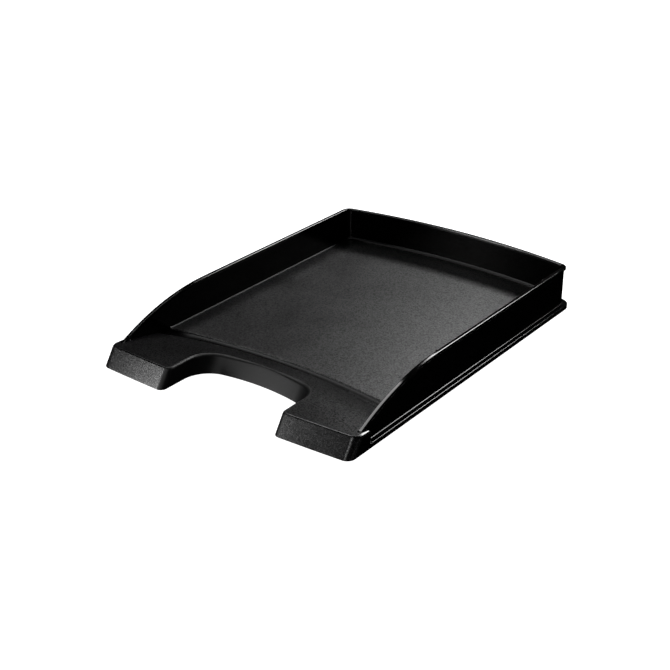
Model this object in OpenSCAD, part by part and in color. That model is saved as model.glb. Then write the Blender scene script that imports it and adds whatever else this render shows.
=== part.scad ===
// Slim stacking letter tray for A4 paper, one black polystyrene moulding.
// The moulding is split on its natural lines into the regions it is made of.
// X runs across the tray, +Y to the rear wall, Z up from the table.
// The origin is the middle of the footprint, on the table.

/* [Tray] */
// Width over the base flange
tray_w = 255; // [235:1:280]
// Depth over the raked front and the bowed rear flange
tray_d = 356; // [330:1:400]
// Height from the table to the top of the rim
tray_h = 40; // [36:1:70]
// Thickness of the walls and the skirts
wall_t = 2; // [1.6:0.1:2.6]
// How far the rear edge bows outwards over the full width
rear_bow = 13.8; // [8:0.2:18]
// Radius of the rear corners at the base flange
corner_r = 12; // [10:0.5:16]

/* [Base flange and rim] */
// How far the base flange stands out from the wall
flange_w = 5.2; // [4.5:0.1:6]
// Height of the top of the base flange
flange_h = 4.2; // [3.8:0.1:5]
// Thickness of the ledge, whose underside sits on the rim of the tray below
ledge_t = 1.2; // [1:0.1:1.6]
// Thickness of the flange's downward skirt
skirt_t = 1.5; // [1.2:0.1:1.8]
// How far the rim bead stands out from the wall
bead_w = 1.6; // [1:0.1:2]
// Height of the rim bead
bead_h = 2.4; // [2:0.1:3]

/* [Floor and gutter] */
// Height of the paper bed above the table
floor_h = 8.3; // [7.5:0.1:10]
// Thickness of the floor
floor_t = 2; // [1.6:0.1:2.6]
// Where the floor ends at the front, on the centre line
floor_front_y = -88; // [-92:0.5:-80]
// Radius of the floor's front edge in plan
floor_front_r = 557; // [500:1:700]
// Depth of the gutter between the floor and the lip
gutter_drop = 1.7; // [1.2:0.1:2]

/* [Front lip and ears] */
// Where the lip starts behind the cutout, on the centre line
lip_rear_y = -95.8; // [-99:0.1:-94]
// Radius of the lip's rear edge in plan
lip_rear_r = 410; // [380:1:440]
// Height of the lip at its rear edge
lip_rear_h = 8.6; // [8:0.1:10]
// Height of the two front ears
ear_h = 16; // [14:0.5:20]
// Distance over which the lip climbs to the ear height
lip_climb = 47; // [42:1:55]
// How far the front edge bows outwards over the full width
front_bow = 3.9; // [2:0.1:6]
// Forward lean of every front face, per unit of height
front_rake = 0.66; // [0.4:0.02:0.8]
// Radius of the ears' outer vertical corners
ear_outer_r = 7.5; // [6:0.5:12]
// Radius of the ears' inner vertical corners
ear_inner_r = 5.5; // [4:0.5:9]
// Where the ears end behind, flush with the flange
ear_rear_y = -146; // [-150:0.5:-140]

/* [Finger cutout] */
// Half the width of the cutout between the ears
cutout_half_w = 57; // [50:0.5:65]
// Where the cutout ends behind, on the centre line at table level
cutout_rear_y = -123.8; // [-130:0.1:-120]
// Radius of the cutout's rear edge in plan
cutout_rear_r = 190; // [150:1:240]
// Radius of the cutout's rear corners
cutout_corner_r = 25; // [18:0.5:30]

/* [Side walls] */
// Where the level rim ends and the downward sweep begins
sweep_y = -52.5; // [-60:0.5:-45]
// Radius of the downward sweep of the side walls
sweep_r = 230; // [220:1:245]
// Distance of the front stacking nub from the tray's middle
nub_front_y = -50.5; // [-52:0.5:-30]
// Distance of the rear stacking nub from the tray's middle
nub_rear_y = 120; // [90:1:140]
// Radius of a stacking nub
nub_r = 1.2; // [0.8:0.1:1.6]

/* [Hidden] */
$fn = 96;
gloss = [0.05, 0.05, 0.055];
grain = [0.13, 0.13, 0.135];
half_w = tray_w / 2;
rear_y = tray_d / 2;
reach = tray_d;
inner_u = flange_w + wall_t;
inner_x = half_w - inner_u;
ledge_bottom = flange_h - ledge_t;

// Rear edge: one arc about rear_c, met by a corner arc about corner_c
rear_r = (half_w * half_w + rear_bow * rear_bow) / (2 * rear_bow);
rear_c = rear_y - rear_r;
corner_x = half_w - corner_r;
corner_y = rear_c + sqrt(pow(rear_r - corner_r, 2) - pow(corner_x, 2));
rear_turn = asin(corner_x / (rear_r - corner_r));

// Front edge: one arc about front_c, with corner arcs on both ends of each ear
front_r = (half_w * half_w + front_bow * front_bow) / (2 * front_bow);
ear_in_x = cutout_half_w + ear_inner_r;
ear_in_y = ear_inner_r - tray_d / 2;
front_c = ear_in_y + sqrt(pow(front_r - ear_inner_r, 2) - pow(ear_in_x, 2));
lip_c = lip_rear_y - lip_rear_r;
cutout_c = cutout_rear_y - cutout_rear_r;
lip_curve = lip_climb * lip_climb / (2 * (ear_h - lip_rear_h));
lip_deep = 85;
gutter_h = floor_h - gutter_drop;
gutter_bottom = gutter_h - floor_t;
arc_steps = 8;
front_steps = 4;
climb_steps = 10;
// The ears are cut where their straight front panels begin
panel_in = cutout_half_w + ear_inner_r + 2;
panel_out = half_w - ear_outer_r - 2;

function arc(cx, cy, r, a0, a1, n) =
    [for (i = [0:n]) let (a = a0 + (a1 - a0) * i / n) [cx + r * cos(a), cy + r * sin(a)]];
function flip(points) = [for (i = [len(points) - 1:-1:0]) [-points[i][0], points[i][1]]];

// Height of the lip at a distance d in front of its rear edge
function lip_z(d) = ear_h - pow(max(0, lip_climb - d), 2) / (2 * lip_curve);

// Right half of the front outline, moved inwards by i, from the side to the middle
function front_half(i) =
    let (
        rf = front_r - ear_outer_r,
        ri = front_r - ear_inner_r,
        ox = half_w - ear_outer_r,
        oy = front_c - sqrt(rf * rf - ox * ox),
        rc = cutout_rear_r - cutout_corner_r,
        cx = cutout_half_w - cutout_corner_r,
        cy = cutout_c + sqrt(rc * rc - cx * cx),
        a_out = -90 + asin(ox / rf),
        a_in = -90 + asin(ear_in_x / ri),
        a_cut = 90 - asin(cx / rc)
    )
    concat(
        arc(ox, oy, ear_outer_r - i, 0, a_out, arc_steps),
        arc(0, front_c, front_r - i, a_out, a_in, front_steps),
        arc(ear_in_x, ear_in_y, ear_inner_r - i, a_in, -180, arc_steps),
        arc(cx, cy, cutout_corner_r + i, 0, a_cut, arc_steps),
        arc(0, cutout_c, cutout_rear_r + i, a_cut, 90, arc_steps)
    );

module front_plan(i) {
    half = front_half(i);
    side_x = half_w - i;
    polygon(concat([[side_x, 0]], half, flip(half), [[-side_x, 0]]));
}

// Everything in front leans forward by the rake, and keeps its footprint on the table
module raked() {
    multmatrix([[1, 0, 0, 0], [0, 1, front_rake, 0], [0, 0, 1, 0], [0, 0, 0, 1]])
        children();
}

module raked_front(i) {
    raked() linear_extrude(ear_h + 1) front_plan(i);
}

// A slice of the body of revolution about the centre of the lip's rear edge
module lip_turned(points) {
    half_turn = asin(half_w / (lip_rear_r - lip_deep)) + 1;
    translate([0, lip_c, 0]) rotate([0, 0, 90 - half_turn])
        rotate_extrude(angle = 2 * half_turn, $fn = 360) polygon(points);
}

function lip_points(drop) =
    [for (i = [0:climb_steps]) let (d = lip_climb * i / climb_steps) [lip_rear_r - d, lip_z(d) - drop]];

// All that lies under the top of the lip and the ears
module lip_body() {
    in_r = lip_rear_r - lip_deep;
    lip_turned(concat(lip_points(0), [[in_r, ear_h], [in_r, 0], [lip_rear_r, 0]]));
}

// The lip and ear tops as one sheet, with a leg down to the gutter
module lip_sheet() {
    in_r = lip_rear_r - lip_deep;
    leg = [[lip_rear_r - wall_t, lip_z(wall_t) - wall_t], [lip_rear_r - wall_t, gutter_bottom]];
    under = [for (p = lip_points(wall_t)) if (p[0] < lip_rear_r - wall_t) p];
    back = [for (i = [len(under) - 1:-1:0]) under[i]];
    lip_turned(concat(
        lip_points(0), [[in_r, ear_h], [in_r, ear_h - wall_t]], back, leg,
        [[lip_rear_r, gutter_bottom]]
    ));
}

// A block of space between two x and two y values, for cutting one region from the next
module span(x0, x1, y0, y1) {
    translate([x0, y0, -1]) cube([x1 - x0, y1 - y0, tray_h + 2]);
}

module skirt() {
    intersection() {
        lip_body();
        difference() {
            raked_front(0);
            raked_front(wall_t);
        }
    }
}

module deck() {
    intersection() {
        lip_sheet();
        raked_front(wall_t);
    }
}

// Runs of a wall profile; its x is 0 on the outline and negative inwards
module right_run(y0, y1) {
    translate([half_w, y1, 0]) rotate([90, 0, 0]) linear_extrude(y1 - y0) children();
}

module right_corner() {
    translate([corner_x, corner_y, 0]) rotate_extrude(angle = 90 - rear_turn)
        translate([corner_r, 0]) children();
}

module rear_run() {
    translate([0, rear_c, 0]) rotate([0, 0, 90 - rear_turn])
        rotate_extrude(angle = 2 * rear_turn, $fn = 720) translate([rear_r, 0]) children();
}

module on_left() {
    mirror([1, 0, 0]) children();
}

module wall_profile() {
    translate([-inner_u, ledge_bottom]) square([wall_t, tray_h - bead_h - ledge_bottom]);
}

module rim_profile() {
    translate([-inner_u, tray_h - bead_h]) square([wall_t + bead_w, bead_h]);
}

module flange_profile() {
    polygon([
        [-flange_w, ledge_bottom], [-skirt_t, ledge_bottom], [-skirt_t, 0],
        [0, 0], [0, flange_h], [-flange_w, flange_h]
    ]);
}

// Side view of all that lies under the swept top edge lowered by a drop; x is the depth
module under_sweep(drop) {
    translate([sweep_y, 0]) square([corner_y - sweep_y, tray_h - drop]);
    intersection() {
        translate([sweep_y, tray_h - sweep_r]) circle(sweep_r - drop, $fn = 360);
        translate([sweep_y - sweep_r, 0]) square([sweep_r, tray_h]);
    }
}

module side_sheet(thickness) {
    translate([inner_x, 0, 0]) rotate([90, 0, 90]) linear_extrude(thickness) children();
}

module side_wall() {
    side_sheet(wall_t) intersection() {
        under_sweep(bead_h);
        translate([ear_rear_y, ledge_bottom]) square([corner_y - ear_rear_y, tray_h]);
    }
}

// The rim runs down onto the ear and ends where the sweep meets its top
module side_rim() {
    difference() {
        side_sheet(wall_t + bead_w) difference() {
            under_sweep(0);
            under_sweep(bead_h);
            translate([-reach, -1]) square([2 * reach, lip_z(0) + 1]);
            translate([-reach, 0]) square([reach + ear_rear_y, ear_h - wall_t]);
        }
        intersection() {
            lip_body();
            span(0, half_w, -reach, ear_rear_y);
        }
    }
}

module ear_front() {
    intersection() {
        skirt();
        span(panel_in, panel_out, -reach, ear_rear_y - wall_t);
    }
}

module ear_cheek() {
    intersection() {
        skirt();
        span(0, panel_in, -reach, ear_rear_y - wall_t);
    }
}

// Outer side of an ear with its front corner and the plate that closes it behind
module ear_side() {
    intersection() {
        skirt();
        span(panel_out, half_w + 1, -reach, ear_rear_y);
    }
    intersection() {
        lip_body();
        span(inner_x, half_w - wall_t, ear_rear_y - wall_t, ear_rear_y);
    }
}

module ear_deck() {
    intersection() {
        deck();
        span(0, half_w, -reach, ear_rear_y - wall_t);
    }
}

module floor_arc(r) {
    translate([0, floor_front_y - floor_front_r]) circle(r, $fn = 720);
}

module plan_inside(u) {
    wedge_x = rear_r * tan(rear_turn);
    translate([u - half_w, lip_rear_y - 25]) square([tray_w - 2 * u, corner_y - lip_rear_y + 25]);
    for (side = [-1, 1]) translate([side * corner_x, corner_y]) circle(corner_r - u);
    intersection() {
        translate([0, rear_c]) circle(rear_r - u, $fn = 720);
        polygon([[0, rear_c], [wedge_x, rear_c + rear_r], [-wedge_x, rear_c + rear_r]]);
        translate([-half_w, 0]) square([tray_w, rear_y]);
    }
}

module floor_panel() {
    color(grain) {
        translate([0, 0, floor_h - floor_t]) linear_extrude(floor_t) difference() {
            plan_inside(inner_u);
            floor_arc(floor_front_r);
        }
        translate([0, 0, gutter_bottom]) linear_extrude(gutter_drop) intersection() {
            difference() {
                floor_arc(floor_front_r + floor_t);
                floor_arc(floor_front_r);
            }
            translate([-inner_x, lip_rear_y - 25]) square([2 * inner_x, 50]);
        }
    }
}

module front_gutter() {
    color(gloss) translate([0, 0, gutter_bottom]) linear_extrude(floor_t) difference() {
        intersection() {
            floor_arc(floor_front_r);
            translate([-inner_x, lip_rear_y - 25]) square([2 * inner_x, 50]);
        }
        translate([0, lip_c]) circle(lip_rear_r, $fn = 720);
    }
}

module lip_region(x0, x1) {
    intersection() {
        deck();
        span(x0, x1, ear_rear_y - wall_t, lip_rear_y + 1);
    }
}

module lip_bridge() { color(grain) lip_region(-panel_in, panel_in); }
module lip_deck_right() { color(grain) lip_region(panel_in, inner_x); }
module lip_deck_left() { color(grain) on_left() lip_region(panel_in, inner_x); }

module cutout_apron() {
    color(gloss) intersection() {
        skirt();
        span(-panel_in, panel_in, ear_rear_y - wall_t, lip_rear_y);
    }
}

module ear_deck_right() { color(grain) ear_deck(); }
module ear_deck_left() { color(grain) on_left() ear_deck(); }
module ear_front_right() { color(grain) ear_front(); }
module ear_front_left() { color(grain) on_left() ear_front(); }
module ear_cheek_right() { color(grain) ear_cheek(); }
module ear_cheek_left() { color(grain) on_left() ear_cheek(); }
module ear_side_right() { color(gloss) ear_side(); }
module ear_side_left() { color(gloss) on_left() ear_side(); }
module wall_right() { color(gloss) side_wall(); }
module wall_left() { color(gloss) on_left() side_wall(); }
module wall_rear() { color(gloss) rear_run() wall_profile(); }
module corner_right() { color(gloss) right_corner() wall_profile(); }
module corner_left() { color(gloss) on_left() right_corner() wall_profile(); }
module rim_right() { color(gloss) side_rim(); }
module rim_left() { color(gloss) on_left() side_rim(); }
module flange_right() { color(gloss) right_run(ear_rear_y, corner_y) flange_profile(); }
module flange_left() { color(gloss) on_left() flange_right(); }
module rim_rear() { color(gloss) rear_run() rim_profile(); }
module rim_corner_right() { color(gloss) right_corner() rim_profile(); }
module rim_corner_left() { color(gloss) on_left() right_corner() rim_profile(); }
module flange_rear() { color(gloss) rear_run() flange_profile(); }
module flange_corner_right() { color(gloss) right_corner() flange_profile(); }
module flange_corner_left() { color(gloss) on_left() right_corner() flange_profile(); }

// Two locating nubs on the inner edge of each side rim
module stacking_nubs() {
    color(gloss) for (side = [-1, 1]) for (y = [nub_front_y, nub_rear_y]) {
        intersection() {
            translate([side * inner_x, y, tray_h - bead_h]) cylinder(h = bead_h, r = nub_r);
            span(-inner_x, inner_x, y - nub_r, y + nub_r);
        }
    }
}

floor_panel();
front_gutter();
lip_bridge();
lip_deck_left();
lip_deck_right();
ear_deck_left();
ear_deck_right();
ear_front_left();
ear_front_right();
ear_cheek_left();
ear_cheek_right();
ear_side_left();
ear_side_right();
cutout_apron();
wall_left();
wall_right();
wall_rear();
corner_left();
corner_right();
rim_left();
rim_right();
rim_rear();
rim_corner_left();
rim_corner_right();
flange_left();
flange_right();
flange_rear();
flange_corner_left();
flange_corner_right();
stacking_nubs();
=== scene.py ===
"""Looks for the slim letter tray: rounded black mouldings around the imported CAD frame.

Lengths are in millimetres, in the frame's own axes, until mesh_piece() turns them into metres.
"""
import math

import bmesh
import bpy
import numpy as np
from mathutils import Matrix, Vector
from mathutils.geometry import delaunay_2d_cdt


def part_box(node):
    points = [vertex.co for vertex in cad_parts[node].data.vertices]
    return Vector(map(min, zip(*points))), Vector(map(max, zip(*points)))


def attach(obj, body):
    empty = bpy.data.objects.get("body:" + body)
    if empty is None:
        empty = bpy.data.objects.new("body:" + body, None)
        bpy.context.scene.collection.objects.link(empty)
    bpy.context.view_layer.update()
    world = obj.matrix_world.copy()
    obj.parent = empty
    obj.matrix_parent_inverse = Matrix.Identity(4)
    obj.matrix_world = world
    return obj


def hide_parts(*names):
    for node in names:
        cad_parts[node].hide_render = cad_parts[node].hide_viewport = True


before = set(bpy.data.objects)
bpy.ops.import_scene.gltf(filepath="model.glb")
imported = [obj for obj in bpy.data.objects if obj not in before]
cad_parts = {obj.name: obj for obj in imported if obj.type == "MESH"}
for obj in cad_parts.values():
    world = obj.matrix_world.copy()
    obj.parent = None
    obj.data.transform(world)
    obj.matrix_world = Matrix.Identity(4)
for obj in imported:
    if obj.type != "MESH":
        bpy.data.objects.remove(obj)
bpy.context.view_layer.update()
MM = 0.001


def low(node):
    return [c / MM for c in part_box(node)[0]]


def high(node):
    return [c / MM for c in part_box(node)[1]]


# ---------------------------------------------------------------- sizes from the frame
HALF_W = high("flange_right")[0]
REAR_Y = high("flange_rear")[1]
FRONT_Y = low("ear_cheek_right")[1]
CORNER_Y = high("wall_right")[1]
EAR_REAR_Y = low("wall_right")[1]
WALL_IN_X = low("wall_right")[0]
WALL_OUT_X = high("wall_right")[0]
RIM_OUT_X = high("rim_right")[0]
RIM_TOP = high("rim_rear")[2]
RIM_BOTTOM = low("rim_rear")[2]
LEDGE_TOP = high("flange_rear")[2]
LEDGE_BOTTOM = low("wall_rear")[2]
FLOOR_TOP = high("floor_panel")[2]
GUTTER_TOP = high("front_gutter")[2]
GUTTER_BOTTOM = low("front_gutter")[2]
EAR_TOP = high("ear_deck_right")[2]
NUB_Y = (low("stacking_nubs")[1], high("stacking_nubs")[1])

# Profile positions: 0 on the tray's outline, negative inwards
WALL_P = WALL_IN_X - HALF_W
BEAD_P = RIM_OUT_X - HALF_W
FLANGE_P = WALL_OUT_X - HALF_W
RIM_H = RIM_TOP - RIM_BOTTOM

# ---------------------------------------------------------------- the tray's own curves
CORNER_R = 12.0
CORNER_X = HALF_W - CORNER_R
REAR_BOW = 13.8
REAR_R = (HALF_W**2 + REAR_BOW**2) / (2 * REAR_BOW)
REAR_C = REAR_Y - REAR_R
REAR_TURN = math.asin(CORNER_X / (REAR_R - CORNER_R))
FRONT_BOW = 3.9
FRONT_R = (HALF_W**2 + FRONT_BOW**2) / (2 * FRONT_BOW)
EAR_OUTER_R = 7.5
EAR_INNER_R = 5.5
CUTOUT_HALF_W = 57.0
CUTOUT_Y = -123.8
CUTOUT_R = 190.0
CUTOUT_C = CUTOUT_Y - CUTOUT_R
CUTOUT_CORNER_R = 25.0
RAKE = 0.66
EAR_IN_X = CUTOUT_HALF_W + EAR_INNER_R
EAR_IN_Y = FRONT_Y + EAR_INNER_R
FRONT_C = EAR_IN_Y + math.sqrt((FRONT_R - EAR_INNER_R) ** 2 - EAR_IN_X**2)
LIP_Y = -95.8
LIP_R = 410.0
LIP_C = LIP_Y - LIP_R
LIP_H = 8.6
LIP_CLIMB = 47.0
LIP_CURVE = LIP_CLIMB**2 / (2 * (EAR_TOP - LIP_H))
FLOOR_Y = -88.0
FLOOR_R = 557.0
FLOOR_C = FLOOR_Y - FLOOR_R
SWEEP_Y = -52.5
SWEEP_R = 230.0
SWEEP_C = RIM_TOP - SWEEP_R
FLANGE_SKIRT_T = 1.5
SHEET_T = 2.0

# ---------------------------------------------------------------- roundings
TABLE_ROUND = 0.35
LEDGE_ROUND = 0.6
LEDGE_COVE = 0.9
RIM_ROUND_IN = 0.7
RIM_ROUND_OUT = 0.8
FRONT_ROUND = 0.9
SIDE_ROUND = 2.4
CHEEK_ROUND = 2.2
TAB_CORNER_R = 4.0
REAR_COVE = 2.4
SIDE_COVE = 0.9
LIP_ROUND = 0.7
FLOOR_EDGE_ROUND = 0.8
RIM_FOOT_R = 9.0
GUTTER_DIP = 0.5
GUTTER_STEP = 0.35
NUB_R = 1.2

# How far pieces are sunk into their neighbours, and flat strips beside a rounded edge
SUNK = 0.3
RIM_FOOT_SUNK = 0.6
SEAM_STRIP = 0.4
SEAM_STEP = 0.2
SHARP_ANGLE = 38


# ---------------------------------------------------------------- small geometry helpers
def arc_points(cx, cy, r, a0, a1, n):
    """n + 1 points on an arc, angles in radians."""
    angles = np.linspace(a0, a1, n + 1)
    return [(cx + r * math.cos(a), cy + r * math.sin(a)) for a in angles]


def rounded(corners, steps=5):
    """A closed outline from (x, y, radius) corners, each rounded with its own radius."""
    outline = []
    count = len(corners)
    for i, (x, y, r) in enumerate(corners):
        here = np.array((x, y), float)
        before = np.array(corners[i - 1][:2], float) - here
        after = np.array(corners[(i + 1) % count][:2], float) - here
        if r <= 0:
            outline.append(tuple(here))
            continue
        u = before / np.linalg.norm(before)
        v = after / np.linalg.norm(after)
        half = math.acos(float(np.clip(u @ v, -1, 1))) / 2
        reach = r / math.tan(half)
        bisector = (u + v) / np.linalg.norm(u + v)
        centre = here + bisector * (r / math.sin(half))
        start = here + u * reach - centre
        end = here + v * reach - centre
        turn = math.pi - 2 * half
        for k in range(steps + 1):
            t = k / steps
            mix = math.sin((1 - t) * turn) * start + math.sin(t * turn) * end
            outline.append(tuple(centre + mix / math.sin(turn)))
    return outline


def mesh_piece(name, vertices, faces, nodes, slot_name, materials, face_material=None):
    """A smooth-shaded closed piece, drawn in place of its CAD nodes, which it hides, and riding
    on the one body.
    """
    mesh = bpy.data.meshes.new(name)
    mesh.from_pydata([tuple(c * MM for c in v) for v in vertices], [], faces)
    for material in materials:
        mesh.materials.append(material)
    if face_material is not None:
        mesh.polygons.foreach_set("material_index", face_material)
    bm = bmesh.new()
    bm.from_mesh(mesh)
    bmesh.ops.remove_doubles(bm, verts=bm.verts, dist=1e-6)
    bmesh.ops.recalc_face_normals(bm, faces=bm.faces)
    bm.to_mesh(mesh)
    bm.free()
    mesh.shade_smooth()
    mesh.set_sharp_from_angle(angle=math.radians(SHARP_ANGLE))
    piece = bpy.data.objects.new(name, mesh)
    bpy.context.scene.collection.objects.link(piece)
    weighted = piece.modifiers.new("weighted", "WEIGHTED_NORMAL")
    weighted.keep_sharp = True
    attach(piece, "root")
    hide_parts(*nodes)
    return piece


def swept(rings, first_vertex=0):
    """Faces and vertices of a closed tube through rings of equal length, capped at both ends."""
    vertices = [p for ring in rings for p in ring]
    count = len(rings[0])
    faces = []
    for i in range(len(rings) - 1):
        for j in range(count):
            a = first_vertex + i * count + j
            b = first_vertex + i * count + (j + 1) % count
            faces.append((a, b, b + count, a + count))
    faces.append(tuple(first_vertex + j for j in range(count)))
    last = first_vertex + (len(rings) - 1) * count
    faces.append(tuple(last + j for j in reversed(range(count))))
    return vertices, faces


def mirrored(rings):
    return [[(-x, y, z) for (x, y, z) in ring] for ring in rings]


# ---------------------------------------------------------------- materials
DRIFT_SIZE = 38.0
COARSE_GRAIN = 2.6
PIT_SIZE = 1.25
ROUGHNESS_DRIFT = 0.03
ROUGHNESS_GRAIN = 0.06
NOISE_SPAN = (0.3, 0.7)


def plastic(name, tint, roughness, grain_size, grain_depth, speckle, specular, glint=0.0):
    """Black moulded plastic: faint colour drift, spark-eroded grain, uneven roughness.

    Grain size and depth are in millimetres. Speckle is how dark the pits of the grain are, and
    glint is how much the gloss varies from pit to pit."""
    material = bpy.data.materials.new(name)
    material.use_nodes = True
    tree = material.node_tree
    nodes, links = tree.nodes, tree.links
    shader = nodes["Principled BSDF"]
    where = nodes.new("ShaderNodeTexCoord")

    def noise(size, detail, rough):
        node = nodes.new("ShaderNodeTexNoise")
        node.inputs["Scale"].default_value = 1 / (size * MM)
        node.inputs["Detail"].default_value = detail
        node.inputs["Roughness"].default_value = rough
        links.new(where.outputs["Object"], node.inputs["Vector"])
        return node.outputs["Fac"]

    def remap(value, low_in, high_in, low_out, high_out):
        node = nodes.new("ShaderNodeMapRange")
        node.inputs["From Min"].default_value = low_in
        node.inputs["From Max"].default_value = high_in
        node.inputs["To Min"].default_value = low_out
        node.inputs["To Max"].default_value = high_out
        links.new(value, node.inputs["Value"])
        return node.outputs["Result"]

    drift = noise(DRIFT_SIZE, 3.0, 0.55)
    fine = noise(grain_size, 2.0, 0.6)
    coarse = noise(grain_size * COARSE_GRAIN, 2.0, 0.5)

    ramp = nodes.new("ShaderNodeValToRGB")
    ramp.color_ramp.elements[0].position = 0.3
    ramp.color_ramp.elements[0].color = (*[c * 0.82 for c in tint], 1)
    ramp.color_ramp.elements[1].position = 0.7
    ramp.color_ramp.elements[1].color = (*[c * 1.2 for c in tint], 1)
    links.new(drift, ramp.inputs["Fac"])
    flecks = nodes.new("ShaderNodeMix")
    flecks.data_type = "RGBA"
    flecks.blend_type = "MULTIPLY"
    flecks.inputs["Factor"].default_value = 1.0
    fleck_ramp = nodes.new("ShaderNodeValToRGB")
    fleck_ramp.color_ramp.elements[0].position = 0.42
    fleck_ramp.color_ramp.elements[0].color = (1 - speckle, 1 - speckle, 1 - speckle, 1)
    fleck_ramp.color_ramp.elements[1].position = 0.6
    fleck_ramp.color_ramp.elements[1].color = (1, 1, 1, 1)
    links.new(fine, fleck_ramp.inputs["Fac"])
    links.new(ramp.outputs["Color"], flecks.inputs["A"])
    links.new(fleck_ramp.outputs["Color"], flecks.inputs["B"])
    links.new(flecks.outputs["Result"], shader.inputs["Base Color"])

    add = nodes.new("ShaderNodeMath")
    add.operation = "ADD"
    slow = remap(drift, *NOISE_SPAN, -ROUGHNESS_DRIFT, ROUGHNESS_DRIFT)
    swing = ROUGHNESS_GRAIN * speckle
    quick = remap(fine, *NOISE_SPAN, roughness - swing, roughness + swing)
    links.new(slow, add.inputs[0])
    links.new(quick, add.inputs[1])
    links.new(add.outputs["Value"], shader.inputs["Roughness"])

    height = nodes.new("ShaderNodeMath")
    height.operation = "ADD"
    links.new(fine, height.inputs[0])
    links.new(coarse, height.inputs[1])
    bump = nodes.new("ShaderNodeBump")
    bump.inputs["Strength"].default_value = 1.0
    bump.inputs["Distance"].default_value = grain_depth * MM
    links.new(height.outputs["Value"], bump.inputs["Height"])
    links.new(bump.outputs["Normal"], shader.inputs["Normal"])

    shader.inputs["IOR"].default_value = 1.5
    if glint:
        pits = noise(PIT_SIZE, 1.0, 0.5)
        uneven = remap(pits, 0.32, 0.68, specular * (1 - glint), specular * (1 + glint))
        links.new(uneven, shader.inputs["Specular IOR Level"])
    else:
        shader.inputs["Specular IOR Level"].default_value = specular
    return material


GREY_FLECK = (0.0052, 0.005, 0.0056)
BLACK = (0.0004, 0.0004, 0.00045)
# name, tint, roughness, grain size, grain depth, speckle, specular, glint
GRAINED = plastic("grained_black", GREY_FLECK, 0.37, 0.95, 0.05, 0.96, 0.5, 0.62)
DECK = plastic("deck_black", GREY_FLECK, 0.36, 0.95, 0.05, 0.96, 0.17, 0.8)
FRONT = plastic("front_black", GREY_FLECK, 0.25, 0.95, 0.02, 0.96, 0.5, 0.3)
SATIN = plastic("satin_black", BLACK, 0.46, 0.9, 0.02, 0.5, 0.36)
POLISHED = plastic("polished_black", BLACK, 0.1, 7.0, 0.004, 0.3, 0.5)
GUTTER_BLACK = plastic("gutter_black", BLACK, 0.27, 3.0, 0.01, 0.3, 0.13)
WALL_BLACK = plastic("wall_black", BLACK, 0.1, 7.0, 0.004, 0.3, 0.08)


# ---------------------------------------------------------------- wall, rim and flange runs
def on_corner(a):
    """Places a profile point (p, z) on the rear right corner, at an angle from +X."""
    return lambda p, z: (
        CORNER_X + (CORNER_R + p) * math.cos(a),
        CORNER_Y + (CORNER_R + p) * math.sin(a),
        z,
    )


def on_rear(a):
    """Places a profile point (p, z) on the bowed rear edge, at an angle from +X."""
    return lambda p, z: ((REAR_R + p) * math.cos(a), REAR_C + (REAR_R + p) * math.sin(a), z)


CORNER_END = math.pi / 2 - REAR_TURN
CORNER_STATIONS = [on_corner(a) for a in np.linspace(0, CORNER_END, 17)]
REAR_STATIONS = [on_rear(a) for a in np.linspace(CORNER_END, math.pi - CORNER_END, 49)]

COVE_TOP = LEDGE_TOP + LEDGE_COVE + 0.05
FLANGE = rounded(
    [
        (FLANGE_P - SUNK, LEDGE_BOTTOM, 0),
        (-FLANGE_SKIRT_T, LEDGE_BOTTOM, 0.4),
        (-FLANGE_SKIRT_T, 0, TABLE_ROUND),
        (0, 0, TABLE_ROUND),
        (0, LEDGE_TOP, LEDGE_ROUND),
        (FLANGE_P, LEDGE_TOP, LEDGE_COVE),
        (FLANGE_P, COVE_TOP, 0),
        (FLANGE_P - SUNK, COVE_TOP, 0),
    ]
)
RIM = rounded(
    [
        (WALL_P, RIM_BOTTOM, 0),
        (FLANGE_P, RIM_BOTTOM, 0),
        (BEAD_P, RIM_BOTTOM, 0.5),
        (BEAD_P, RIM_TOP, RIM_ROUND_OUT),
        (WALL_P, RIM_TOP, RIM_ROUND_IN),
    ]
)
WALL = [
    (WALL_P, LEDGE_BOTTOM),
    (FLANGE_P, LEDGE_BOTTOM),
    (FLANGE_P, RIM_BOTTOM),
    (WALL_P, RIM_BOTTOM),
]


def run(name, profile, stations, material=POLISHED):
    rings = [[at(p, z) for p, z in profile] for at in stations]
    vertices, faces = swept(rings)
    mesh_piece(name, vertices, faces, [name], "polished_plastic", [material])


def pair(name, rings, slot_name, materials, face_material=None):
    """The right piece of a pair from its rings, then its mirror image on the left."""
    for side, its_rings in (("right", rings), ("left", mirrored(rings))):
        full = f"{name}_{side}"
        vertices, faces = swept(its_rings)
        mesh_piece(full, vertices, faces, [full], slot_name, materials, face_material)


def corner_rings(profile):
    return [[at(p, z) for p, z in profile] for at in CORNER_STATIONS]


run("wall_rear", WALL, REAR_STATIONS, WALL_BLACK)
run("rim_rear", RIM, REAR_STATIONS)
run("flange_rear", FLANGE, REAR_STATIONS)
pair("corner", corner_rings(WALL), "polished_plastic", [POLISHED])
pair("rim_corner", corner_rings(RIM), "polished_plastic", [POLISHED])
pair("flange_corner", corner_rings(FLANGE), "polished_plastic", [POLISHED])


def flange_side_rings():
    """The side flange; its front end is sunk into the ear, behind the ear's rounded corner."""
    rings = []
    for y in np.linspace(EAR_REAR_Y - TAB_CORNER_R - 1, CORNER_Y, 15):
        tuck = 0.03 if y < EAR_REAR_Y - TAB_CORNER_R + 0.5 else 0.0
        rings.append([(HALF_W + p - tuck, y, z) for p, z in FLANGE])
    return rings


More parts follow.
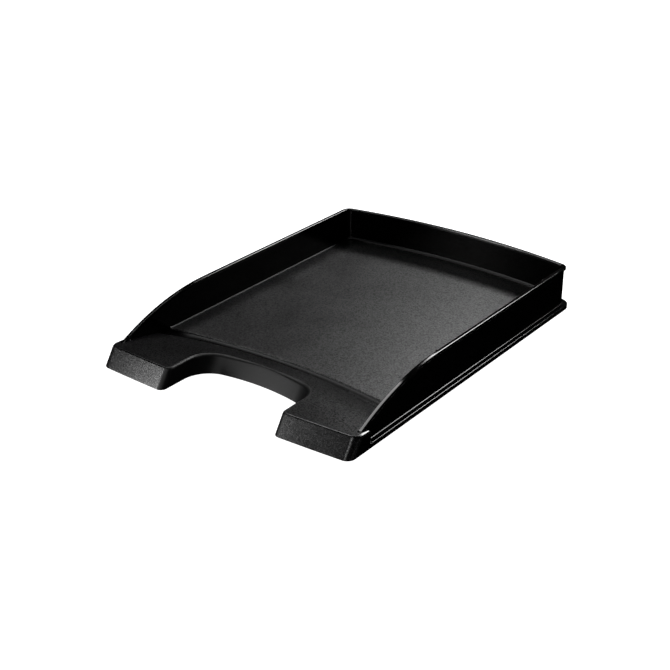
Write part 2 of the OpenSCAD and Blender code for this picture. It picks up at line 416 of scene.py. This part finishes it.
# Top line of the side rim: level, then the sweep, then a small hollow onto the ear
FOOT_Z = EAR_TOP + RIM_FOOT_R
FOOT_Y = SWEEP_Y - math.sqrt((SWEEP_R + RIM_FOOT_R) ** 2 - (FOOT_Z - SWEEP_C) ** 2)
SWEEP_END = math.atan2(FOOT_Z - SWEEP_C, FOOT_Y - SWEEP_Y)


def rim_line():
    """(y, z, normal y, normal z) along the top of the side rim, from the rear corner."""
    line = [(y, RIM_TOP, 0.0, 1.0) for y in np.linspace(CORNER_Y, SWEEP_Y + 4, 12)]
    for a in np.linspace(math.pi / 2, SWEEP_END, 40):
        ny, nz = math.cos(a), math.sin(a)
        line.append((SWEEP_Y + SWEEP_R * ny, SWEEP_C + SWEEP_R * nz, ny, nz))
    for a in np.linspace(SWEEP_END - math.pi, -math.pi / 2, 10)[1:]:
        ny, nz = -math.cos(a), -math.sin(a)
        line.append((FOOT_Y - RIM_FOOT_R * ny, FOOT_Z - RIM_FOOT_R * nz, ny, nz))
    return line


def rim_side_rings():
    """The rim keeps its section down the sweep; over the ear it stands on the ear's top."""
    rings = []
    for y, z, ny, nz in rim_line():
        ring = []
        for p, h in RIM:
            drop = h - RIM_TOP
            py, pz = y + ny * drop, z + nz * drop
            if y < EAR_REAR_Y and drop < -RIM_H / 2:
                py, pz = y, EAR_TOP - RIM_FOOT_SUNK
            ring.append((HALF_W + p, py, pz))
        rings.append(ring)
    return rings


def wall_side_rings():
    """The side wall, whose top edge is hidden at the rim's underside or, where the rim sweeps
    down, in the middle of the rim's section."""
    level = list(np.linspace(CORNER_Y, SWEEP_Y, 8))
    falling = list(np.linspace(SWEEP_Y, EAR_REAR_Y, 30))[1:]
    mid_rim_r = SWEEP_R - RIM_H / 2
    rings = []
    for y in level + falling:
        top = RIM_BOTTOM
        if y < SWEEP_Y:
            top = min(top, SWEEP_C + math.sqrt(mid_rim_r**2 - (y - SWEEP_Y) ** 2))
        rings.append([(HALF_W + p, y, LEDGE_BOTTOM if z < RIM_BOTTOM else top) for p, z in WALL])
    return rings


pair("flange", flange_side_rings(), "polished_plastic", [POLISHED])
pair("rim", rim_side_rings(), "polished_plastic", [POLISHED])
pair("wall", wall_side_rings(), "polished_plastic", [WALL_BLACK])


# ---------------------------------------------------------------- lip and ear tops
def lip_top(x, y):
    """Height of the lip and ear tops, with the lip's rear edge rounded."""
    d = LIP_R - math.hypot(x, y - LIP_C)
    z = EAR_TOP - max(0.0, LIP_CLIMB - d) ** 2 / (2 * LIP_CURVE)
    if d < LIP_ROUND:
        z -= LIP_ROUND - math.sqrt(max(0.0, LIP_ROUND**2 - (LIP_ROUND - max(0.0, d)) ** 2))
    return z


# ---------------------------------------------------------------- front outline and its skirts
def front_stations():
    """Stations round the right half of the front, from the tab's rear end to the middle.

    Each is (x, y, normal x, normal y, share of the rake, radius of the top edge)."""
    rf = FRONT_R - EAR_OUTER_R
    ri = FRONT_R - EAR_INNER_R
    ox = HALF_W - EAR_OUTER_R
    oy = FRONT_C - math.sqrt(rf**2 - ox**2)
    rc = CUTOUT_R - CUTOUT_CORNER_R
    cx = CUTOUT_HALF_W - CUTOUT_CORNER_R
    cy = CUTOUT_C + math.sqrt(rc**2 - cx**2)
    a_out = -math.pi / 2 + math.asin(ox / rf)
    a_in = -math.pi / 2 + math.asin(EAR_IN_X / ri)
    a_cut = math.pi / 2 - math.asin(cx / rc)
    stations = []

    def arc(x, y, r, a0, a1, n, rake=1.0, round0=FRONT_ROUND, round1=FRONT_ROUND, out=1):
        """Out is 1 where the arc's centre is inside the tray and -1 where it is outside."""
        for k in range(n + 1):
            t = k / n
            ease = t * t * (3 - 2 * t)
            a = a0 + (a1 - a0) * t
            stations.append(
                (
                    x + r * math.cos(a),
                    y + r * math.sin(a),
                    out * math.cos(a),
                    out * math.sin(a),
                    rake,
                    round0 + (round1 - round0) * ease,
                )
            )

    def line(x0, y0, x1, y1, nx, ny, n, rake0, rake1, edge):
        """The stations between two ends, which the neighbouring arcs bring themselves."""
        for k in range(1, n):
            t = k / n
            ease = t * t * (3 - 2 * t)
            x, y = x0 + (x1 - x0) * t, y0 + (y1 - y0) * t
            stations.append((x, y, nx, ny, rake0 + (rake1 - rake0) * ease, edge))

    tab_x = HALF_W - TAB_CORNER_R
    tab_y = EAR_REAR_Y - TAB_CORNER_R
    # The tab starts inside the thickness of the side wall
    inner = WALL_IN_X + 1.2
    line(2 * inner - tab_x, EAR_REAR_Y, tab_x, EAR_REAR_Y, 0, 1, 2, 0, 0, SIDE_ROUND)
    arc(tab_x, tab_y, TAB_CORNER_R, math.pi / 2, 0, 10, 0, SIDE_ROUND, SIDE_ROUND)
    line(HALF_W, tab_y, HALF_W, oy, 1, 0, 8, 0, 1, SIDE_ROUND)
    arc(ox, oy, EAR_OUTER_R, 0, a_out, 20, 1, SIDE_ROUND, FRONT_ROUND)
    arc(0, FRONT_C, FRONT_R, a_out, a_in, 24)
    arc(EAR_IN_X, EAR_IN_Y, EAR_INNER_R, a_in, -math.pi, 18, 1, FRONT_ROUND, CHEEK_ROUND)
    line(CUTOUT_HALF_W, EAR_IN_Y, CUTOUT_HALF_W, cy, -1, 0, 8, 1, 1, CHEEK_ROUND)
    arc(cx, cy, CUTOUT_CORNER_R, 0, a_cut, 24, 1, CHEEK_ROUND, CHEEK_ROUND, -1)
    arc(0, CUTOUT_C, CUTOUT_R, a_cut, math.pi / 2, 20, 1, CHEEK_ROUND, FRONT_ROUND, -1)
    kept = [stations[0]]
    for s in stations[1:]:
        if math.hypot(s[0] - kept[-1][0], s[1] - kept[-1][1]) > 0.01:
            kept.append(s)
    return kept


def skirt_ring(station):
    """One section of a skirt: top strip, rounded edge, raked face, table edge, inner face."""
    x, y, nx, ny, rake, edge = station

    def at(u, z):
        return (x + nx * u, y + ny * u + RAKE * rake * z, z)

    def top_at(u):
        z = EAR_TOP
        for _ in range(12):
            px, py, _ = at(u, z)
            z = lip_top(px, py)
        return z

    inset = edge + SEAM_STRIP
    step = SEAM_STEP - inset
    ring = [at(-inset, top_at(-inset)), at(step, top_at(step))]
    for k in range(9):
        turn = k / 8 * math.pi / 2
        u = -edge * (1 - math.sin(turn))
        ring.append(at(u, top_at(u) - edge * (1 - math.cos(turn))))
    face_top = top_at(0) - edge
    for k in range(1, 6):
        ring.append(at(0, face_top + (TABLE_ROUND - face_top) * k / 5))
    for k in range(1, 5):
        turn = k / 4 * math.pi / 2
        ring.append(at(-TABLE_ROUND * (1 - math.cos(turn)), TABLE_ROUND * (1 - math.sin(turn))))
    under = max(inset, SHEET_T + 0.05)
    ring += [
        at(-SHEET_T + TABLE_ROUND, 0),
        at(-SHEET_T, TABLE_ROUND),
        at(-SHEET_T, top_at(-SHEET_T) - SHEET_T - 0.02),
        at(-under, top_at(-under) - SHEET_T),
    ]
    return ring


STATIONS = front_stations()
RINGS = [skirt_ring(s) for s in STATIONS]
PANEL_IN = CUTOUT_HALF_W + EAR_INNER_R + 2
PANEL_OUT = HALF_W - EAR_OUTER_R - 2
CHEEK_Y = -158.0


def first(test):
    return next(i for i, s in enumerate(STATIONS) if test(s))


ON_FRONT = first(lambda s: s[1] < EAR_IN_Y and s[0] < PANEL_OUT)
ON_CHEEK = first(lambda s: s[1] < EAR_IN_Y and s[0] < PANEL_IN)
ON_APRON = first(lambda s: s[0] < CUTOUT_HALF_W + 0.01 and s[1] > CHEEK_Y)

for part, start, end, slot_name, materials in (
    ("ear_side", 0, ON_FRONT, "polished_plastic", [POLISHED, FRONT]),
    ("ear_front", ON_FRONT, ON_CHEEK, "grained_plastic", [FRONT]),
    ("ear_cheek", ON_CHEEK, ON_APRON, "satin_plastic", [SATIN]),
):
    per_face = None
    if len(materials) > 1:
        # The front corner has the front's finish, and the side and the rear tab are polished
        in_front = [int(STATIONS[i][3] < -0.02) for i in range(start, end)]
        per_face = [finish for finish in in_front for _ in RINGS[0]] + [0, 1]
    pair(part, RINGS[start : end + 1], slot_name, materials, per_face)
apron = RINGS[ON_APRON:] + mirrored(RINGS[ON_APRON:-1])[::-1]
vertices, faces = swept(apron)
mesh_piece("cutout_apron", vertices, faces, ["cutout_apron"], "satin_plastic", [SATIN])


# ---------------------------------------------------------------- sheets with a shaped top
def sheet(outline, features, top, bottom, keep=None):
    """A closed sheet over a plan outline: top and bottom heights follow functions of x and y.

    Features are polylines that the top has to follow, and keep picks the triangles that
    belong to the piece."""
    points = [Vector(p[:2]) for p in outline]
    count = len(points)
    edges = []
    for feature in features:
        start = len(points)
        points += [Vector(p[:2]) for p in feature]
        edges += [(start + i, start + i + 1) for i in range(len(feature) - 1)]
    result = delaunay_2d_cdt(points, edges, [list(range(count))], 1, 1e-5)
    plan, _, triangles = result[:3]
    triangles = [t for t in triangles if len(t) == 3]
    if keep:
        centres = [sum((plan[i] for i in t), Vector((0, 0))) / 3 for t in triangles]
        triangles = [t for t, c in zip(triangles, centres) if keep(c.x, c.y)]
    used = sorted({i for t in triangles for i in t})
    index = {old: new for new, old in enumerate(used)}
    upper = [(plan[i].x, plan[i].y, top(plan[i].x, plan[i].y)) for i in used]
    lower = [(plan[i].x, plan[i].y, bottom(plan[i].x, plan[i].y)) for i in used]
    size = len(used)
    faces, border = [], {}
    for a, b, c in ([index[i] for i in t] for t in triangles):
        faces.append((a, b, c))
        faces.append((c + size, b + size, a + size))
        for e in ((a, b), (b, c), (c, a)):
            border[e] = border.get(e, 0) + 1
    for a, b in border:
        if (b, a) not in border:
            faces.append((b, a, a + size, b + size))
    return upper + lower, faces


def lip_arc(d, half_x, n=96):
    """The lip's rear edge moved forward by d, from left to right."""
    r = LIP_R - d
    a = math.asin(half_x / r)
    return arc_points(0, LIP_C, r, math.pi / 2 + a, math.pi / 2 - a, n)


def inside(polygon, x, y):
    """Whether a plan point lies in a polygon."""
    found = False
    for (x0, y0), (x1, y1) in zip(polygon, polygon[1:] + polygon[:1]):
        if (y0 > y) != (y1 > y) and x < x0 + (y - y0) * (x1 - x0) / (y1 - y0):
            found = not found
    return found


def clear_of(polygon, x, y, gap):
    return all((x - px) ** 2 + (y - py) ** 2 > gap**2 for px, py in polygon)


def runs_inside(polygon, feature, gap):
    """The stretches of a feature that lie inside a polygon and clear of its corners."""
    stretches, current = [], []
    for point in feature:
        if inside(polygon, *point) and clear_of(polygon, *point, gap):
            current.append(point)
        elif current:
            stretches.append(current)
            current = []
    return [s for s in stretches + [current] if len(s) > 1]


SEAM = [ring[0] for ring in RINGS]
SPLIT_Y = SEAM[0][1]
DECK_X = WALL_IN_X + SUNK
side_top = [(-DECK_X, SPLIT_Y)] + lip_arc(0, DECK_X) + [(DECK_X, SPLIT_Y)]
deck_outline = side_top + [p[:2] for p in SEAM[:-1]] + [(-p[0], p[1]) for p in SEAM[::-1]]
deck_outline = [tuple(p) for p in deck_outline]
rounding = [LIP_ROUND * (1 - math.cos(k / 6 * math.pi / 2)) for k in range(1, 7)]
deck_features = []
for d in rounding + [3, 7, 12, 17, 22, 28, 34, 40, 47]:
    gap = 0.8 if d > LIP_ROUND else 0
    deck_features += runs_inside(deck_outline, lip_arc(d, WALL_IN_X - SUNK, 120), gap)
split_points = []
for i in range(len(deck_outline) - 1, 0, -1):
    (x0, y0), (x1, y1) = deck_outline[i - 1], deck_outline[i]
    if abs(x0) < PANEL_IN and (y0 > SPLIT_Y) != (y1 > SPLIT_Y):
        crossing = (x0 + (SPLIT_Y - y0) * (x1 - x0) / (y1 - y0), SPLIT_Y)
        deck_outline.insert(i, crossing)
        split_points.append(crossing)
deck_features += [[p, (math.copysign(DECK_X, p[0]), SPLIT_Y)] for p in split_points]
deck_parts = (
    ("lip_deck", ["lip_bridge", "lip_deck_left", "lip_deck_right"], lambda x, y: y > SPLIT_Y),
    ("ear_deck_right", ["ear_deck_right"], lambda x, y: y < SPLIT_Y and x > 0),
    ("ear_deck_left", ["ear_deck_left"], lambda x, y: y < SPLIT_Y and x < 0),
)
for name, nodes, keep in deck_parts:
    vertices, faces = sheet(
        deck_outline,
        deck_features,
        lip_top,
        lambda x, y: min(lip_top(x, y), lip_top(x, y - 1)) - SHEET_T,
        keep,
    )
    mesh_piece(name, vertices, faces, nodes, "grained_plastic", [DECK])


# ---------------------------------------------------------------- gutter and floor
def arc_y(centre, radius, x):
    return centre + math.sqrt(radius**2 - x**2)


def gutter_ring(x):
    """A hollow channel between the lip's rear edge and the floor's front edge."""
    y0 = arc_y(LIP_C, LIP_R, x) - SUNK
    y1 = arc_y(FLOOR_C, FLOOR_R, x) + SUNK
    depth = FLOOR_TOP - LIP_ROUND - GUTTER_STEP - GUTTER_TOP + GUTTER_DIP
    ring = []
    for k in range(17):
        t = k / 16
        z = GUTTER_TOP - GUTTER_DIP + depth * (2 * t - 1) ** 2
        ring.append((x, y0 + (y1 - y0) * t, z))
    return ring + [(x, y1, GUTTER_BOTTOM), (x, y0, GUTTER_BOTTOM)]


vertices, faces = swept([gutter_ring(x) for x in np.linspace(-WALL_IN_X, WALL_IN_X, 65)])
mesh_piece("front_gutter", vertices, faces, ["front_gutter"], "polished_plastic", [GUTTER_BLACK])


def cove_radius(x, y):
    """Cove at the foot of the walls: small at the sides, larger along the rear wall."""
    if y <= CORNER_Y:
        return SIDE_COVE
    turn = math.atan2(y - CORNER_Y, max(abs(x) - CORNER_X, 1e-6)) / CORNER_END
    turn = min(1.0, turn)
    return SIDE_COVE + (REAR_COVE - SIDE_COVE) * turn * turn * (3 - 2 * turn)


def wall_gap(x, y):
    """Distance from the inner face of the nearest wall."""
    gap = WALL_IN_X - abs(x)
    if y > CORNER_Y:
        around = math.atan2(y - CORNER_Y, abs(x) - CORNER_X)
        if abs(x) > CORNER_X and around < CORNER_END:
            gap = CORNER_R + WALL_P - math.hypot(abs(x) - CORNER_X, y - CORNER_Y)
        else:
            gap = REAR_R + WALL_P - math.hypot(x, y - REAR_C)
    return max(0.0, gap)


def floor_height(x, y):
    z = FLOOR_TOP
    gap, radius = wall_gap(x, y), cove_radius(x, y)
    if gap < radius:
        z += radius - math.sqrt(max(0.0, radius**2 - (radius - gap) ** 2))
    front = math.hypot(x, y - FLOOR_C) - FLOOR_R
    if front < FLOOR_EDGE_ROUND:
        front = max(0.0, front)
        z -= FLOOR_EDGE_ROUND - math.sqrt(FLOOR_EDGE_ROUND**2 - (FLOOR_EDGE_ROUND - front) ** 2)
    return z


def wall_line(share):
    """Plan line along the walls, a share of the local cove radius in from them."""
    line = [(WALL_IN_X - share * SIDE_COVE, y) for y in np.linspace(-150, CORNER_Y, 24)]
    for a in np.linspace(0, CORNER_END, 13)[1:]:
        x, y = CORNER_X + CORNER_R * math.cos(a), CORNER_Y + CORNER_R * math.sin(a)
        r = CORNER_R + WALL_P - share * cove_radius(x, y)
        line.append((CORNER_X + r * math.cos(a), CORNER_Y + r * math.sin(a)))
    r = REAR_R + WALL_P - share * REAR_COVE
    middle = arc_points(0, REAR_C, r, CORNER_END, math.pi - CORNER_END, 48)
    return line + middle[1:-1] + [(-x, y) for x, y in line[::-1]]


def floor_arc(inset, half_x, n=96):
    """The floor's front edge moved back by an inset, from left to right."""
    r = FLOOR_R + inset
    a = math.asin(half_x / r)
    return arc_points(0, FLOOR_C, r, math.pi / 2 + a, math.pi / 2 - a, n)


front_line = floor_arc(0, WALL_IN_X)
walls = [p for p in wall_line(0) if p[1] > front_line[0][1] + 0.5]
floor_outline = front_line + walls
cove_shares = [1 - math.sin(k / 8 * math.pi / 2) for k in range(0, 8)]
FEATURE_Y = arc_y(FLOOR_C, FLOOR_R, WALL_IN_X) - 3
floor_features = [[p for p in wall_line(share) if p[1] > FEATURE_Y] for share in cove_shares]
edge_steps = [FLOOR_EDGE_ROUND * (1 - math.cos(k / 6 * math.pi / 2)) for k in range(1, 7)]
floor_features += [floor_arc(step, WALL_IN_X - 0.01) for step in edge_steps]


def clipped(feature):
    """The points of a feature that are not in front of the floor's front edge."""
    return [p for p in feature if math.hypot(p[0], p[1] - FLOOR_C) >= FLOOR_R + 1e-3]


def floor_underside(x, y):
    """The underside steps down to the gutter along the front edge."""
    on_leg = math.hypot(x, y - FLOOR_C) < FLOOR_R + SHEET_T - 0.1
    return (GUTTER_TOP if on_leg else FLOOR_TOP) - SHEET_T


def in_cove(face):
    x = sum(vertices[i][0] for i in face) / len(face)
    y = sum(vertices[i][1] for i in face) / len(face)
    return wall_gap(x, y) < cove_radius(x, y) + 0.01


vertices, faces = sheet(
    floor_outline, [clipped(f) for f in floor_features], floor_height, floor_underside
)
mesh_piece(
    "floor_panel",
    vertices,
    faces,
    ["floor_panel"],
    "grained_plastic",
    [GRAINED, SATIN],
    [int(in_cove(face)) for face in faces],
)


# ---------------------------------------------------------------- stacking nubs
DOME_R, DOME_RISE = 0.8, 0.85
DOME_FOOT = RIM_TOP - 0.9


def nub(x, y):
    """A short peg with a domed top, half sunk into the rim's inner edge."""
    profile = [(NUB_R, RIM_BOTTOM), (NUB_R, DOME_FOOT)]
    for t in np.linspace(0, math.pi / 2, 6)[1:]:
        profile.append((NUB_R - DOME_R * (1 - math.cos(t)), DOME_FOOT + DOME_RISE * math.sin(t)))
    round_it = np.linspace(0, 2 * math.pi, 25)[:-1]
    return [
        [(x + r * math.cos(a), y + r * math.sin(a), z) for a in round_it] for r, z in profile
    ]


nub_vertices, nub_faces = [], []
for side in (-1, 1):
    for y in (NUB_Y[0] + NUB_R, NUB_Y[1] - NUB_R):
        more_vertices, more_faces = swept(nub(side * WALL_IN_X, y), len(nub_vertices))
        nub_vertices += more_vertices
        nub_faces += more_faces
mesh_piece(
    "stacking_nubs", nub_vertices, nub_faces, ["stacking_nubs"], "polished_plastic", [POLISHED]
)


# ---------------------------------------------------------------- floor, light and camera
def pale_material():
    """A white studio floor that glows a little, so that it stays even."""
    material = bpy.data.materials.new("pale_floor")
    material.use_nodes = True
    shader = material.node_tree.nodes["Principled BSDF"]
    shader.inputs["Base Color"].default_value = (0.6, 0.6, 0.6, 1)
    shader.inputs["Roughness"].default_value = 0.9
    shader.inputs["Specular IOR Level"].default_value = 0.0
    shader.inputs["Emission Color"].default_value = (1, 1, 1, 1)
    shader.inputs["Emission Strength"].default_value = 1.0
    return material


ground_mesh = bpy.data.meshes.new("ground")
G = 9  # half the width of the floor, in metres
ground_mesh.from_pydata([(-G, -G, 0), (G, -G, 0), (G, G, 0), (-G, G, 0)], [], [(0, 1, 2, 3)])
ground_mesh.materials.append(pale_material())
ground = bpy.data.objects.new("ground", ground_mesh)
bpy.context.scene.collection.objects.link(ground)
# The polished plastic would otherwise mirror the glowing floor
ground.visible_glossy = False


def softbox(name, azimuth, elevation, distance, width, height, power):
    """A soft light round the tray; azimuth 0 is in front of it and 90 to its right."""
    a, e = math.radians(azimuth), math.radians(elevation)
    back = Vector((math.sin(a) * math.cos(e), -math.cos(a) * math.cos(e), math.sin(e)))
    light = bpy.data.lights.new(name, "AREA")
    light.shape = "RECTANGLE"
    light.size, light.size_y, light.energy = width, height, power
    lamp = bpy.data.objects.new(name, light)
    lamp.location = back * distance + Vector((0, 0, 0.01))
    lamp.rotation_euler = back.to_track_quat("Z", "Y").to_euler()
    bpy.context.scene.collection.objects.link(lamp)


# name, azimuth, elevation, distance, width and height in metres, power in watts
softbox("rear_softbox", 190, 40, 1.5, 0.9, 0.31, 9.4)
softbox("front_softbox", -36.4, 10.4, 1.5, 0.245, 0.54, 8.8)
softbox("apron_softbox", 4, 33, 1.5, 0.3, 0.3, 2.2)
softbox("edge_softbox", 163, 42, 1.5, 0.7, 0.35, 11)
softbox("sweep_softbox", 250, 59, 1.55, 0.8, 0.5, 5.5)

# The world is white to the camera. All other rays see a dark room, pale just over the horizon
world = bpy.data.worlds.new("studio")
world.use_nodes = True
nodes, links = world.node_tree.nodes, world.node_tree.links
room = nodes["Background"]
where = nodes.new("ShaderNodeTexCoord")
split = nodes.new("ShaderNodeSeparateXYZ")
blend = nodes.new("ShaderNodeValToRGB")
blend.color_ramp.elements[0].position = 0.0
blend.color_ramp.elements[0].color = (0.0, 0.0, 0.0, 1)
blend.color_ramp.elements[1].position = 0.02
blend.color_ramp.elements[1].color = (0.25, 0.25, 0.25, 1)
fade = blend.color_ramp.elements.new(0.2)
fade.color = (0.003, 0.003, 0.003, 1)
links.new(where.outputs["Generated"], split.inputs["Vector"])
links.new(split.outputs["Z"], blend.inputs["Fac"])
links.new(blend.outputs["Color"], room.inputs["Color"])
backdrop = nodes.new("ShaderNodeBackground")
backdrop.inputs["Color"].default_value = (1, 1, 1, 1)
ray = nodes.new("ShaderNodeLightPath")
pick = nodes.new("ShaderNodeMixShader")
links.new(ray.outputs["Is Camera Ray"], pick.inputs["Fac"])
links.new(room.outputs["Background"], pick.inputs[1])
links.new(backdrop.outputs["Background"], pick.inputs[2])
links.new(pick.outputs["Shader"], nodes["World Output"].inputs["Surface"])
bpy.context.scene.world = world
bpy.context.scene.view_settings.view_transform = "Standard"

CAMERA_AT = (0.604152, -0.826780, 0.500355)
CAMERA_AZIMUTH = 36.939
CAMERA_ELEVATION = 26.156
camera_data = bpy.data.cameras.new("camera")
camera_data.lens = 70.07
camera_data.sensor_width = 36
camera = bpy.data.objects.new("camera", camera_data)
camera.location = CAMERA_AT
camera.rotation_euler = (math.radians(90 - CAMERA_ELEVATION), 0, math.radians(CAMERA_AZIMUTH))
bpy.context.scene.collection.objects.link(camera)
bpy.context.scene.camera = camera
